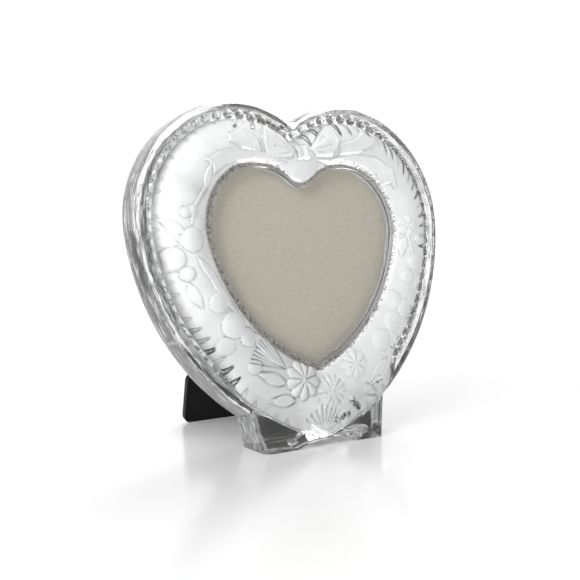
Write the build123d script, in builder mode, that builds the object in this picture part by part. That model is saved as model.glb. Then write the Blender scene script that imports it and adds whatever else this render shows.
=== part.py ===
from build123d import *
import os
from math import asin, atan2, cos, degrees, hypot, pi, radians, sin, tan
from typing import NamedTuple

# Heart shaped photo frame: a thick pressed crystal heart on two feet, an easel back in its
# rear recess, and a folding strut. Millimetres, +X right, +Y to the rear, +Z up, with the
# origin on the table under the middle of the whole frame as it stands with its strut open.

# How the frame stands: its lean, and how far behind the front of the feet the strut stands
lean_angle = 9.9
strut_reach = 79.5

# Depths, all measured backwards from the flat front of the feet
glass_depth = 24.5
crest_rise = 2.5
rim_setback = 3.3
bead_seat_depth = 8.6
inner_edge_depth = 0.2
ledge_depth = 3.9

# Roundings of the glass
rim_round = 4.0
rear_round = 8.0
foot_round = 4.4
inner_edge_round = 0.9

# Feet and the shallow arch between them
foot_half_width = 34.5
foot_side_over_tip = 5.02
foot_flare_radius = 27.0
foot_flare_angle = 58.0
arch_half_span = 17.0
arch_rise = 3.0
overrun = 10.0

# Beads that edge the relief band
bead_radius = 2.35
bead_pitch = 6.3
bead_first_gap = 3.2
bead_last_height = 34.0
bead_sides = 6
bead_waist_angle = 45.0
bead_crown_height = 2.1

# Where the features of the band lie, as shares of the way from the outline to the window
rim_share = 0.115
bead_share = 0.187
crown_foot_share = 0.255
crown_shoulder_share = 0.31
crown_slope_share = 0.45
crest_outer_share = 0.60
crest_inner_share = 0.68
inner_edge_share = 0.955
recess_share = 0.885
stud_share = 0.70

# How far the crown has risen at its shoulder and at its slope, as shares
crown_shoulder_rise_share = 0.468
crown_slope_rise_share = 0.83

# What lies in the rear recess, from the front
pane_thickness = 1.6
card_thickness = 0.8
foam_thickness = 10.0
backing_thickness = 1.4
velour_thickness = 0.8
recess_clearance = 0.3

# Turn buttons on the glass
stud_radius = 1.5
stud_depth = 6.0
cement_clearance = 0.05
button_clearance = 0.08
washer_radius = 3.0
washer_clearance = 0.15
washer_thickness = 0.5
button_thickness = 1.0
button_half_width = 3.2
button_nose_share = 0.75
grip_thickness = 1.0
grip_height = 1.6
button_reach = 11.0
button_tail = 5.5
dimple_radius = 1.2
dimple_clearance = 0.05
nut_radius = 2.7
nut_height = 2.2
nut_clearance = 0.05
upper_stud_angle = 38.0
lower_stud_angle = -34.0

# Strut hinge on the back board
hinge_below_cusp = 23.3
hinge_width = 24.0
knuckle_radius = 2.2
knuckle_clearance = 0.3
hinge_pin_radius = 1.1
pin_clearance = 0.05
pin_head_radius = 1.7
pin_head_length = 0.6
leaf_thickness = 1.0
leaf_length = 20.0
middle_knuckle_width = 13.6
knuckle_gap = 0.2
leaf_corner_radius = 2.0
leaf_relief = 0.6
stop_width = 9.0
stop_length = 9.0
stop_start = 1.5
stop_clearance = 0.05
screw_radius = 1.2
screw_head_radius = 2.4
screw_head_height = 1.1
head_taper = 30
screw_spacing_x = 17.0
screw_spacing_y = 9.0
screw_first_row = 7.5
screw_length = 5.4
shank_sides = 6
head_sides = 12
fastener_clearance = 0.04

# Strut
strut_thickness = 2.8
strut_foot_half_width = 33.5
strut_shoulder_half_width = 37.0
strut_foot_height = 29.0
strut_neck_top = 14.0
strut_neck_foot = 19.0
strut_corner_radius = 4.0
strut_neck_fillet = 16.0
strut_top_gap = 0.5
rivet_radius = 1.2
rivet_spacing_x = 16.0
rivet_spacing_y = 8.0
rivet_first_row = 8.0
rivet_head_radius = 2.5
rivet_head_height = 1.0
rivet_tail_radius = 1.9
rivet_tail_height = 0.25


class HeartSizes(NamedTuple):
    """One half of a heart as a chain of tangent arcs, from the cusp round to the tip.

    Each arc runs between two directions of the outward normal, in degrees above +X.
    """

    cusp_height: float
    cusp_radius: float
    crown_radius: float
    shoulder_radius: float
    tip_radius: float
    crown_angle: float
    shoulder_angle: float
    flank_angle: float
    tip_angle: float


outline_heart = HeartSizes(
    cusp_height=155.0,
    cusp_radius=6.4,
    crown_radius=50.4,
    shoulder_radius=57.0,
    tip_radius=12.0,
    crown_angle=123.0,
    shoulder_angle=79.0,
    flank_angle=-5.0,
    tip_angle=-74.0,
)
window_heart = HeartSizes(
    cusp_height=122.3,
    cusp_radius=8.9,
    crown_radius=25.4,
    shoulder_radius=30.1,
    tip_radius=3.1,
    crown_angle=133.9,
    shoulder_angle=50.0,
    flank_angle=-12.0,
    tip_angle=-69.2,
)

# The hinge hangs below the cusp of the window
hinge_height = window_heart.cusp_height - hinge_below_cusp

# Depths that follow from the pieces in the recess
card_depth = ledge_depth + pane_thickness
foam_depth = card_depth + card_thickness
backing_depth = foam_depth + foam_thickness
board_depth = backing_depth + backing_thickness
velour_depth = glass_depth - velour_thickness

# Heights of the strut's two faces over the plane through its hinge axis
strut_rear = knuckle_radius - leaf_thickness
strut_front = strut_rear - strut_thickness

# Side view of the stance, measured from the front edge of the feet: the hinge axis, and the
# strut's angle from upright at which its front lower edge stands on the table
lean = radians(lean_angle)
hinge_depth = glass_depth + knuckle_clearance + knuckle_radius
hinge_back = hinge_depth * cos(lean) + hinge_height * sin(lean)
hinge_rise = hinge_height * cos(lean) - hinge_depth * sin(lean)
strut_run = hypot(strut_reach - hinge_back, hinge_rise)
strut_lean = atan2(strut_reach - hinge_back, hinge_rise) - asin(strut_front / strut_run)
strut_length = (hinge_rise + strut_front * sin(strut_lean)) / cos(strut_lean)
overall_depth = strut_reach + strut_thickness * cos(strut_lean)

# The leaning front plane of the feet: local X right, local Y up the face, local Z forwards
face = Plane(
    origin=(0, -overall_depth / 2, 0),
    x_dir=(1, 0, 0),
    z_dir=(0, -cos(lean), sin(lean)),
)
forwards = Axis(face.origin, face.z_dir)
hinge_point = face.from_local_coords(Vector(0, hinge_height, -hinge_depth))
# The open strut: local Y down its length from the hinge axis, local Z out of its rear face
strut_plane = Plane(
    origin=hinge_point,
    x_dir=(1, 0, 0),
    z_dir=(0, cos(strut_lean), sin(strut_lean)),
)


def at_depth(depth):
    """The plane that lies this far behind the front of the feet."""
    return face.offset(-depth)


def normal(angle):
    return Vector(cos(radians(angle)), sin(radians(angle)))


def heart_arcs(share, inset=0):
    """Centre, signed radius, first and last normal angle of each arc of the right half.

    share 0 is the outline, share 1 the window, and the sizes between are mixed. The cusp
    arc is hollow, so its radius is negative and grows as the heart is inset.
    """
    mixed = [a + (b - a) * share for a, b in zip(outline_heart, window_heart)]
    heart = HeartSizes(*mixed)
    cusp_centre = Vector(0, heart.cusp_height + heart.cusp_radius)
    crown_start = cusp_centre - normal(heart.crown_angle) * heart.cusp_radius
    crown_centre = crown_start - normal(heart.crown_angle) * heart.crown_radius
    shoulder_start = crown_centre + normal(heart.shoulder_angle) * heart.crown_radius
    shoulder_centre = shoulder_start - normal(heart.shoulder_angle) * heart.shoulder_radius
    flank_start = shoulder_centre + normal(heart.flank_angle) * heart.shoulder_radius
    # The flank's radius is the one that brings the tip to the middle line
    flank_radius = (heart.tip_radius * normal(heart.tip_angle).X - flank_start.X) / (
        normal(heart.tip_angle).X - normal(heart.flank_angle).X
    )
    flank_centre = flank_start - normal(heart.flank_angle) * flank_radius
    tip_start = flank_centre + normal(heart.tip_angle) * flank_radius
    tip_centre = tip_start - normal(heart.tip_angle) * heart.tip_radius
    return [
        (cusp_centre, -heart.cusp_radius - inset, 90, heart.crown_angle),
        (crown_centre, heart.crown_radius - inset, heart.crown_angle, heart.shoulder_angle),
        (shoulder_centre, heart.shoulder_radius - inset, heart.shoulder_angle, heart.flank_angle),
        (flank_centre, flank_radius - inset, heart.flank_angle, heart.tip_angle),
        (tip_centre, heart.tip_radius - inset, heart.tip_angle, -90),
    ]


def heart(share, inset=0):
    """The whole heart as a flat face, to be added to a sketch."""
    with BuildSketch() as sketch:
        with BuildLine():
            for centre, radius, first, last in heart_arcs(share, inset):
                ThreePointArc(
                    centre + normal(first) * radius,
                    centre + normal((first + last) / 2) * radius,
                    centre + normal(last) * radius,
                )
            mirror(about=Plane.YZ)
        make_face()
    return sketch.sketch


def heart_point(share, angle):
    """The point of the right half whose outward normal has this angle."""
    for centre, radius, first, last in heart_arcs(share)[1:]:
        if last <= angle <= first:
            return centre + normal(angle) * radius


def heart_walk(share, start, pitch, lowest):
    """Points one pitch apart along the right half, from the cusp down to a height."""
    points = []
    travelled = start
    for centre, radius, first, last in heart_arcs(share):
        length = radians(abs(last - first)) * abs(radius)
        while travelled <= length:
            angle = first + (last - first) * travelled / length
            point = centre + normal(angle) * radius
            if point.Y < lowest:
                return points
            points.append(point)
            travelled += pitch
        travelled -= length
    return points


def both_sides(points):
    return [(side * point.X, point.Y) for side in (1, -1) for point in points]


stud_points = [heart_point(stud_share, angle) for angle in (upper_stud_angle, lower_stud_angle)]
screw_points = [
    (side * screw_spacing_x / 2, hinge_height + screw_first_row + row * screw_spacing_y)
    for side in (1, -1)
    for row in (0, 1)
]
rivet_points = [
    (side * rivet_spacing_x / 2, rivet_first_row + row * rivet_spacing_y)
    for side in (1, -1)
    for row in (0, 1)
]

def rounding(radius, *angles):
    """Inset and drop of the places on a rounded edge, 0 at the flank and 90 at the flat."""
    return [(radius * (1 - cos(radians(a))), radius * (1 - sin(radians(a)))) for a in angles]


def ruled(sections):
    """A solid with straight sides between sections, each a flat face and its depth."""
    with BuildPart() as solid:
        for outline, depth in sections:
            with BuildSketch(at_depth(depth)):
                add(outline)
        loft(ruled=True)
    return solid.part


# The flares of the feet start this far over the tip of the outline
tip_centre, tip_reach = heart_arcs(0)[-1][:2]
foot_side_height = tip_centre.Y - tip_reach + foot_side_over_tip


def foot_outline(inset):
    """The two feet and the flares that lead into the flanks of the heart."""
    half_width = foot_half_width - inset
    flare_radius = foot_flare_radius + inset
    flare_centre = Vector(half_width + flare_radius, foot_side_height)
    flare_middle, flare_top = [
        flare_centre + normal(180 - angle) * flare_radius
        for angle in (foot_flare_angle / 2, foot_flare_angle)
    ]
    with BuildSketch() as sketch:
        with BuildLine():
            Polyline((0, -overrun), (half_width, -overrun), (half_width, foot_side_height))
            ThreePointArc((half_width, foot_side_height), flare_middle, flare_top)
            Line(flare_top, (0, flare_top.Y))
            mirror(about=Plane.YZ)
        make_face()
    return sketch.sketch


rear_steps = rounding(rear_round, 90, 45, 0)
pedestal = ruled(
    [(foot_outline(inset), glass_depth - drop) for inset, drop in rear_steps]
    + [(foot_outline(inset), drop) for inset, drop in rounding(foot_round, 0, 45, 90)]
)

with BuildPart() as crystal_frame:
    # The blank: the outline at full depth, rounded at the front rim and more at the rear
    rear_sections = [(heart(0, inset), glass_depth - drop) for inset, drop in rear_steps]
    rim_sections = [
        (heart(0, inset), rim_setback + drop) for inset, drop in rounding(rim_round, 0, 45, 90)
    ]
    add(ruled(rear_sections + rim_sections))
    # The seat of the beads
    with BuildSketch(at_depth(bead_seat_depth)):
        add(heart(rim_share))
    extrude(amount=overrun, mode=Mode.SUBTRACT)
    # The domed relief band from its foot to its crest, then dished to the rolled window edge
    crown_height = bead_seat_depth + crest_rise
    crown_rises = (
        (crown_foot_share, 0),
        (crown_shoulder_share, crown_shoulder_rise_share),
        (crown_slope_share, crown_slope_rise_share),
        (crest_outer_share, 1),
    )
    add(ruled([(heart(share), bead_seat_depth - crown_height * rise) for share, rise in crown_rises]))
    add(pedestal)
    dish_sections = [
        (heart(crest_inner_share), -crest_rise),
        (heart(inner_edge_share), inner_edge_depth),
        (heart(1), inner_edge_depth + inner_edge_round),
    ]
    add(ruled(dish_sections), mode=Mode.SUBTRACT)
    # The window, and the recess behind its ledge
    with BuildSketch(at_depth(glass_depth)):
        add(heart(1))
    extrude(amount=glass_depth, mode=Mode.SUBTRACT)
    with BuildSketch(at_depth(glass_depth)):
        add(heart(recess_share))
    extrude(amount=glass_depth - ledge_depth, mode=Mode.SUBTRACT)
    # Blind holes in the rear for the studs of the turn buttons
    with BuildSketch(at_depth(glass_depth)):
        with Locations(*both_sides(stud_points)):
            RegularPolygon(stud_radius + cement_clearance, head_sides)
    extrude(amount=stud_depth, mode=Mode.SUBTRACT)
    # The row of beads in its seat, each a faceted dome
    bead_points = both_sides(heart_walk(bead_share, bead_first_gap, bead_pitch, bead_last_height))
    waist_radius = bead_radius * cos(radians(bead_waist_angle))
    waist_height = bead_radius * sin(radians(bead_waist_angle))
    for radius, first, last, taper in (
        (bead_radius, 0, waist_height, bead_waist_angle / 2),
        (waist_radius, waist_height, bead_crown_height, bead_waist_angle / 2 + 90 / 2),
    ):
        with BuildSketch(at_depth(bead_seat_depth - first)):
            with Locations(*bead_points):
                RegularPolygon(radius, bead_sides)
        extrude(amount=last - first, taper=taper)
    # Flat soles, rounded at the rear like the rest of the rear rim
    split(bisect_by=Plane.XY, keep=Keep.TOP)
    sole_rear = Vector(glass_depth / cos(lean) - overall_depth / 2, 0)
    rear_up = Vector(sin(lean), cos(lean))
    tangent_run = rear_round * tan(pi / 4 - lean / 2)
    sole_tangent = sole_rear - Vector(tangent_run, 0)
    rear_tangent = sole_rear + rear_up * tangent_run
    edge_centre = sole_tangent + Vector(0, rear_round)
    edge_middle = edge_centre + (sole_rear - edge_centre).normalized() * rear_round
    with BuildSketch(Plane.YZ):
        with BuildLine():
            Polyline(
                sole_tangent,
                sole_tangent - Vector(0, overrun),
                sole_rear + Vector(overrun, -overrun),
                rear_tangent + Vector(overrun, 0),
                rear_tangent,
            )
            ThreePointArc(rear_tangent, edge_middle, sole_tangent)
        make_face()
    extrude(amount=2 * foot_half_width, both=True, mode=Mode.SUBTRACT)
    # The shallow arch between the feet
    arch_radius = (arch_half_span**2 + arch_rise**2) / (2 * arch_rise)
    with BuildSketch(Plane.XZ):
        with Locations((0, arch_rise - arch_radius)):
            Circle(arch_radius)
    extrude(amount=overall_depth, both=True, mode=Mode.SUBTRACT)


def recess_sheet(depth, thickness, inset):
    """A heart shaped sheet that drops into the rear recess."""
    with BuildPart() as sheet:
        with BuildSketch(at_depth(depth + thickness)):
            add(heart(recess_share, inset))
        extrude(amount=thickness)
    return sheet


window_pane = recess_sheet(ledge_depth, pane_thickness, recess_clearance)
display_card = recess_sheet(card_depth, card_thickness, recess_clearance)
foam_pad = recess_sheet(foam_depth, foam_thickness, 2 * recess_clearance)
backing_card = recess_sheet(backing_depth, backing_thickness, recess_clearance)

with BuildPart() as back_board:
    with BuildSketch(at_depth(velour_depth)):
        add(heart(recess_share, recess_clearance))
    extrude(amount=velour_depth - board_depth)
    with BuildSketch(at_depth(velour_depth)):
        with Locations(*screw_points):
            RegularPolygon(screw_radius + fastener_clearance, shank_sides)
    extrude(amount=screw_length - leaf_thickness - velour_thickness, mode=Mode.SUBTRACT)

with BuildPart() as board_velour:
    with BuildSketch(at_depth(glass_depth)):
        add(heart(recess_share, recess_clearance))
        with Locations(*screw_points):
            RegularPolygon(screw_radius + fastener_clearance, shank_sides, mode=Mode.SUBTRACT)
    extrude(amount=velour_thickness)

# Turn buttons: brass tongues that swing on studs set in the glass
button_depth = glass_depth + washer_thickness
nut_depth = button_depth + button_thickness + nut_clearance
with BuildPart() as button_studs:
    with BuildSketch(at_depth(glass_depth - stud_depth)):
        with Locations(*both_sides(stud_points)):
            RegularPolygon(stud_radius, head_sides)
    extrude(amount=-(nut_depth - glass_depth + stud_depth))

with BuildPart() as button_washers:
    with BuildSketch(at_depth(glass_depth)):
        with Locations(*both_sides(stud_points)):
            RegularPolygon(washer_radius, head_sides)
            RegularPolygon(stud_radius + washer_clearance, head_sides, mode=Mode.SUBTRACT)
    extrude(amount=-washer_thickness)

with BuildPart() as button_nuts:
    with BuildSketch(at_depth(nut_depth)):
        with Locations(*both_sides(stud_points)):
            RegularPolygon(nut_radius, shank_sides)
    extrude(amount=-nut_height)


def turn_button(side, angle):
    """One tongue on its stud, pointing in over the board. side is -1 for the left half."""
    point = heart_point(stud_share, angle)
    inwards = -normal(angle)
    plane = Plane(
        origin=at_depth(button_depth).from_local_coords(Vector(side * point.X, point.Y, 0)),
        x_dir=face.x_dir * (side * inwards.X) + face.y_dir * inwards.Y,
        z_dir=-face.z_dir,
    )
    nose_radius = button_half_width * button_nose_share
    with BuildPart() as button:
        with BuildSketch(plane):
            with Locations((button_reach - nose_radius, 0), (button_half_width - button_tail, 0)):
                Circle(nose_radius)
            make_hull()
            Circle(stud_radius + button_clearance, mode=Mode.SUBTRACT)
        extrude(amount=button_thickness)
        # The dimple that presses on the board, and the raised grip at the tail
        with BuildSketch(plane):
            with Locations((button_reach - nose_radius, 0)):
                RegularPolygon(dimple_radius, shank_sides)
        extrude(amount=dimple_clearance - washer_thickness)
        with BuildSketch(plane):
            with Locations((grip_thickness / 2 - button_tail, 0)):
                Rectangle(grip_thickness, nose_radius)
        extrude(amount=button_thickness + grip_height)
    return button


# The strut hinge: pin along X, fixed leaf up the board, moving leaf down the strut
def knuckle(first, last):
    """A barrel of the hinge between two places along its pin."""
    with BuildPart() as barrel:
        with BuildSketch(Plane.YZ.offset(first)):
            with Locations((hinge_point.Y, hinge_point.Z)):
                Circle(knuckle_radius)
        extrude(amount=last - first)
    return barrel.part


def pin_bore():
    with BuildPart() as bore:
        with BuildSketch(Plane.YZ):
            with Locations((hinge_point.Y, hinge_point.Z)):
                Circle(hinge_pin_radius + pin_clearance)
        extrude(amount=hinge_width, both=True)
    return bore.part


relief_length = knuckle_radius + leaf_relief
with BuildPart() as hinge_fixed_leaf:
    with BuildSketch(at_depth(glass_depth)):
        with Locations((0, hinge_height + leaf_length / 2)):
            Rectangle(hinge_width, leaf_length)
        fillet(vertices().sort_by(Axis.Y)[-2:], leaf_corner_radius)
        with Locations((0, hinge_height)):
            Rectangle(middle_knuckle_width + 2 * knuckle_gap, 2 * relief_length, mode=Mode.SUBTRACT)
        with Locations(*screw_points):
            RegularPolygon(screw_radius + fastener_clearance, shank_sides, mode=Mode.SUBTRACT)
    extrude(amount=-leaf_thickness)
    add(knuckle(middle_knuckle_width / 2 + knuckle_gap, hinge_width / 2))
    add(knuckle(-hinge_width / 2, -middle_knuckle_width / 2 - knuckle_gap))
    add(pin_bore(), mode=Mode.SUBTRACT)

with BuildPart() as hinge_moving_leaf:
    with BuildSketch(strut_plane.offset(strut_rear)):
        with Locations((0, (relief_length + leaf_length) / 2)):
            Rectangle(hinge_width, leaf_length - relief_length)
        fillet(vertices().sort_by(Axis.Y)[-2:], leaf_corner_radius)
        with Locations((0, leaf_length / 4)):
            Rectangle(middle_knuckle_width, leaf_length / 2)
        with Locations(*rivet_points):
            RegularPolygon(rivet_radius + fastener_clearance, shank_sides, mode=Mode.SUBTRACT)
    extrude(amount=leaf_thickness)
    add(knuckle(-middle_knuckle_width / 2, middle_knuckle_width / 2))
    # The stop that lies on the fixed leaf while the strut is open
    with BuildSketch(at_depth(glass_depth + leaf_thickness + stop_clearance)):
        with Locations((0, hinge_height + (stop_start + stop_length) / 2)):
            Rectangle(stop_width, stop_length - stop_start)
    extrude(amount=-leaf_thickness)
    add(pin_bore(), mode=Mode.SUBTRACT)

with BuildPart() as hinge_pin:
    with BuildSketch(Plane.YZ.offset(-hinge_width / 2)):
        with Locations((hinge_point.Y, hinge_point.Z)):
            Circle(hinge_pin_radius)
    extrude(amount=hinge_width)
    for end, length in ((hinge_width / 2, pin_head_length), (-hinge_width / 2, -pin_head_length)):
        with BuildSketch(Plane.YZ.offset(end)):
            with Locations((hinge_point.Y, hinge_point.Z)):
                RegularPolygon(pin_head_radius, head_sides)
        extrude(amount=length)

with BuildPart() as hinge_screws:
    with BuildSketch(at_depth(glass_depth + leaf_thickness)):
        with Locations(*screw_points):
            RegularPolygon(screw_head_radius, head_sides)
    extrude(amount=-screw_head_height)
    with BuildSketch(at_depth(glass_depth + leaf_thickness)):
        with Locations(*screw_points):
            RegularPolygon(screw_radius, shank_sides)
    extrude(amount=screw_length)

with BuildPart() as strut_board:
    with BuildSketch(strut_plane.offset(strut_front)):
        with BuildLine():
            strut_top = knuckle_radius + strut_top_gap
            shoulder = strut_length - strut_foot_height
            FilletPolyline(
                (0, strut_top),
                (strut_neck_top, strut_top),
                (strut_neck_foot, shoulder),
                (strut_shoulder_half_width, shoulder),
                (strut_foot_half_width, strut_length),
                (0, strut_length),
                radius=[strut_corner_radius, strut_neck_fillet] + 2 * [strut_corner_radius],
            )
            mirror(about=Plane.YZ)
        make_face()
        with Locations(*rivet_points):
            RegularPolygon(rivet_radius + fastener_clearance, shank_sides, mode=Mode.SUBTRACT)
    extrude(amount=strut_thickness)

with BuildPart() as strut_rivets:
    with BuildSketch(strut_plane.offset(strut_front)):
        with Locations(*rivet_points):
            RegularPolygon(rivet_radius, shank_sides)
    extrude(amount=knuckle_radius - strut_front)
    with BuildSketch(strut_plane.offset(knuckle_radius)):
        with Locations(*rivet_points):
            RegularPolygon(rivet_head_radius, head_sides)
    extrude(amount=rivet_head_height, taper=head_taper)
    with BuildSketch(strut_plane.offset(strut_front)):
        with Locations(*rivet_points):
            RegularPolygon(rivet_tail_radius, head_sides)
    extrude(amount=-rivet_tail_height)

pieces = {
    "crystal_frame": crystal_frame,
    "window_pane": window_pane,
    "display_card": display_card,
    "foam_pad": foam_pad,
    "backing_card": backing_card,
    "back_board": back_board,
    "board_velour": board_velour,
    "button_studs": button_studs,
    "button_washers": button_washers,
    "button_nuts": button_nuts,
    "turn_button_upper_right": turn_button(1, upper_stud_angle),
    "turn_button_upper_left": turn_button(-1, upper_stud_angle),
    "turn_button_lower_right": turn_button(1, lower_stud_angle),
    "turn_button_lower_left": turn_button(-1, lower_stud_angle),
    "hinge_fixed_leaf": hinge_fixed_leaf,
    "hinge_moving_leaf": hinge_moving_leaf,
    "hinge_pin": hinge_pin,
    "hinge_screws": hinge_screws,
    "strut_board": strut_board,
    "strut_rivets": strut_rivets,
}
os.makedirs("parts", exist_ok=True)
for name, piece in pieces.items():
    piece.part.label = name
    export_step(piece.part, f"parts/{name}.step")

fold_angle = degrees(lean + strut_lean)
print(f"hinge pin at y {hinge_point.Y:.4f}, z {hinge_point.Z:.4f}")
print(f"strut leans {degrees(strut_lean):.2f} degrees and folds through {fold_angle:.2f} degrees")
for name, point in zip(("upper", "lower"), stud_points):
    place = at_depth(glass_depth).from_local_coords(Vector(point.X, point.Y, 0))
    print(f"{name} studs at x {place.X:.4f}, y {place.Y:.4f}, z {place.Z:.4f}")
print(f"overall depth {overall_depth:.4f}, strut length {strut_length:.3f}")
print(f"rearward axis of the studs: y {-face.z_dir.Y:.6f}, z {-face.z_dir.Z:.6f}")
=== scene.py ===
# %% [markdown]
# # A heart of pressed crystal that holds a picture
# The real object is one thick piece of glass: a heart on two feet, with a polished rim, a row
# of beads, a frosted band of ribbon and flowers, and a heart shaped window. A card, a pane and
# a velour covered back sit in its rear recess, and a hinged strut holds it up. The packed
# model gives the size and place of every piece, so this scene starts from it.

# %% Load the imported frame
import bpy
import numpy as np
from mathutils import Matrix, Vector


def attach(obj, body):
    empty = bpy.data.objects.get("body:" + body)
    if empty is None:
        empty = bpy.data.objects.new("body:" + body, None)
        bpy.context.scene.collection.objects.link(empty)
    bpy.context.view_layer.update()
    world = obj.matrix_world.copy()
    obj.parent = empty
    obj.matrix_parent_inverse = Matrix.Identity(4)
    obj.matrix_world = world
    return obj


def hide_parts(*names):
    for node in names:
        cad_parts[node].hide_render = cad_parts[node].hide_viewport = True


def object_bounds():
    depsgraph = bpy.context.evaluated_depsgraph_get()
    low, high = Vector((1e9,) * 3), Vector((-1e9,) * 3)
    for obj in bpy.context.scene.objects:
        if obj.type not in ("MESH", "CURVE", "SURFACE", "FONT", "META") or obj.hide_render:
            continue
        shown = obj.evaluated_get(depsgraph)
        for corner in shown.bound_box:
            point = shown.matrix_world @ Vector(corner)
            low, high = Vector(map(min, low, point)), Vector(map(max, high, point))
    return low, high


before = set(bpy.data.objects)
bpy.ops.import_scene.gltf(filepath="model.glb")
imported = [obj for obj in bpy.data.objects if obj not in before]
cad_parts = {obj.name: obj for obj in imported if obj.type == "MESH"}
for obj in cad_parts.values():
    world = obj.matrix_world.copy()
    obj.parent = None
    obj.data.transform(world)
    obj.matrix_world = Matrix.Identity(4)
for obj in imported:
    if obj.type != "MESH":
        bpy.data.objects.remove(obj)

cad_box = np.array([list(corner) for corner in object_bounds()])
print("box of the packed model, in metres:", cad_box.round(4).tolist())

# %% [markdown]
# ## Camera
# The photograph was matched by working out where the camera stood: low, a little to the left,
# about half a metre away, with a short telephoto view. A camera looks along its own -Z.

# %% Place the camera
MM = 0.001
# Metres right of the middle, before the heart and above the table
CAMERA_RIGHT, CAMERA_BEFORE, CAMERA_UP = -0.28636, 0.39043, 0.11856
LENS, SENSOR_WIDTH, NEAREST_SEEN = 65.1, 36.0, 0.01
camera_azimuth, camera_pitch = np.radians(34.13), np.radians(5.36)
view_direction = Vector((
    np.sin(camera_azimuth) * np.cos(camera_pitch),
    np.cos(camera_azimuth) * np.cos(camera_pitch),
    -np.sin(camera_pitch),
))
camera_data = bpy.data.cameras.new("camera")
camera_data.lens = LENS
camera_data.sensor_width = SENSOR_WIDTH
camera_data.clip_start = NEAREST_SEEN
camera = bpy.data.objects.new("camera", camera_data)
camera.location = (CAMERA_RIGHT, cad_box[0, 1] - CAMERA_BEFORE, CAMERA_UP)
camera.rotation_euler = view_direction.to_track_quat("-Z", "Y").to_euler()
bpy.context.collection.objects.link(camera)
bpy.context.scene.camera = camera
bpy.context.scene.view_settings.view_transform = "Standard"
print("camera at", [round(v, 3) for v in camera.location], "lens", camera_data.lens)

# %% [markdown]
# ## Shader sockets that read as sums
# A material is easier to follow when its maths looks like maths. This class wraps a socket, so
# that `1 - mask * 0.5` adds the Math nodes for it.

# %% A wrapped socket and a small material kit
class Value:
    """A shader socket with the usual operators, each of which adds one Math node."""

    def __init__(self, kit, socket):
        self.kit, self.socket = kit, socket

    def math(self, operation, *others):
        """Add one Math node that works on this value and the others."""
        sockets = dict(enumerate((self, *others)))
        return self.kit.node("ShaderNodeMath", {"operation": operation}, sockets)[0]

    def __add__(self, other):
        return self.math("ADD", other)

    def __sub__(self, other):
        return self.math("SUBTRACT", other)

    def __mul__(self, other):
        return self.math("MULTIPLY", other)

    def __rsub__(self, other):
        return (self * -1) + other

    __radd__, __rmul__ = __add__, __mul__

    def sin(self):
        return self.math("SINE")

    def clamp(self):
        """Keep the value between 0 and 1."""
        return self.math("MAXIMUM", 0.0).math("MINIMUM", 1.0)


class Material:
    """A node material: one Principled shader, and one method that adds every other node."""

    def __init__(self, name, **shader_values):
        self.material = bpy.data.materials.new(name)
        self.material.use_nodes = True
        self.tree = self.material.node_tree
        self.shader = self.tree.nodes["Principled BSDF"]
        self.surface = self.tree.nodes["Material Output"].inputs["Surface"]
        for key, value in shader_values.items():
            self.shader.inputs[key.replace("_", " ")].default_value = value

    def node(self, kind, settings=None, inputs=None):
        """Add a node, set its settings, then its inputs; give back its outputs as values."""
        node = self.tree.nodes.new(kind)
        for key, value in (settings or {}).items():
            setattr(node, key, value)
        for key, value in (inputs or {}).items():
            self.feed(node.inputs[key], value)
        return [Value(self, out) for out in node.outputs]

    def feed(self, socket, value):
        """Link a value to a socket, or set it to a plain number."""
        if isinstance(value, Value):
            self.tree.links.new(value.socket, socket)
        else:
            socket.default_value = value

    def feeds(self, **values):
        """Feed inputs of the main shader."""
        for key, value in values.items():
            self.feed(self.shader.inputs[key.replace("_", " ")], value)

    def mix_in(self, factor, other):
        """Show another shader instead of the main one, by a factor."""
        main = Value(self, self.shader.outputs[0])
        mixed = self.node("ShaderNodeMixShader", {}, {0: factor, 1: main, 2: other})[0]
        self.feed(self.surface, mixed)

    def place(self, scale=(1, 1, 1)):
        """Object coordinates, scaled by a Mapping node."""
        inputs = {"Vector": self.node("ShaderNodeTexCoord")[3], "Scale": scale}
        return self.node("ShaderNodeMapping", {}, inputs)[0]

    def noise(self, vector, scale, detail=3.0, roughness=0.5):
        """Soft random spots, finer at a larger scale."""
        inputs = {"Vector": vector, "Scale": scale, "Detail": detail, "Roughness": roughness}
        return self.node("ShaderNodeTexNoise", {}, inputs)[0]

    def blend(self, factor, first, second):
        """Mix two colours by a factor."""
        inputs = {0: factor, 6: first, 7: second}
        return self.node("ShaderNodeMix", {"data_type": "RGBA"}, inputs)[2]

    def bump(self, height, strength, distance):
        """A normal that leans as a height does."""
        inputs = {"Height": height, "Strength": strength, "Distance": distance}
        return self.node("ShaderNodeBump", {}, inputs)[0]


def dress(node, kit):
    """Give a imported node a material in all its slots."""
    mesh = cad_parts[node].data
    mesh.materials.clear()
    mesh.materials.append(kit.material)


# %% [markdown]
# ## The leaning plane
# Everything on the glass is easiest to say on the front plane of its feet: how far right, how
# far up the leaning face, and how deep behind it. This turns such places into the room's.

# %% Places on the leaning face
LEAN = np.radians(9.9)
FRONT_EDGE = cad_box[0, 1]
FACE_UP = np.array([0.0, np.sin(LEAN), np.cos(LEAN)])
FACE_IN = np.array([0.0, np.cos(LEAN), -np.sin(LEAN)])


def on_face(places, depth):
    """Metres in the room for millimetres right, up the face and behind it."""
    right, up, depth = np.broadcast_arrays(places[..., 0], places[..., 1], depth)
    place = up[..., None] * FACE_UP + depth[..., None] * FACE_IN
    place[..., 0] += right
    return place * MM + np.array([0.0, FRONT_EDGE, 0.0])


# %% [markdown]
# ## Hearts between two hearts
# The outline and the window are chains of five tangent arcs. Mixing their sizes by a share
# gives every heart in between, so the share works as a coordinate across the band: 0 on the
# outline and 1 at the window.

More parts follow.
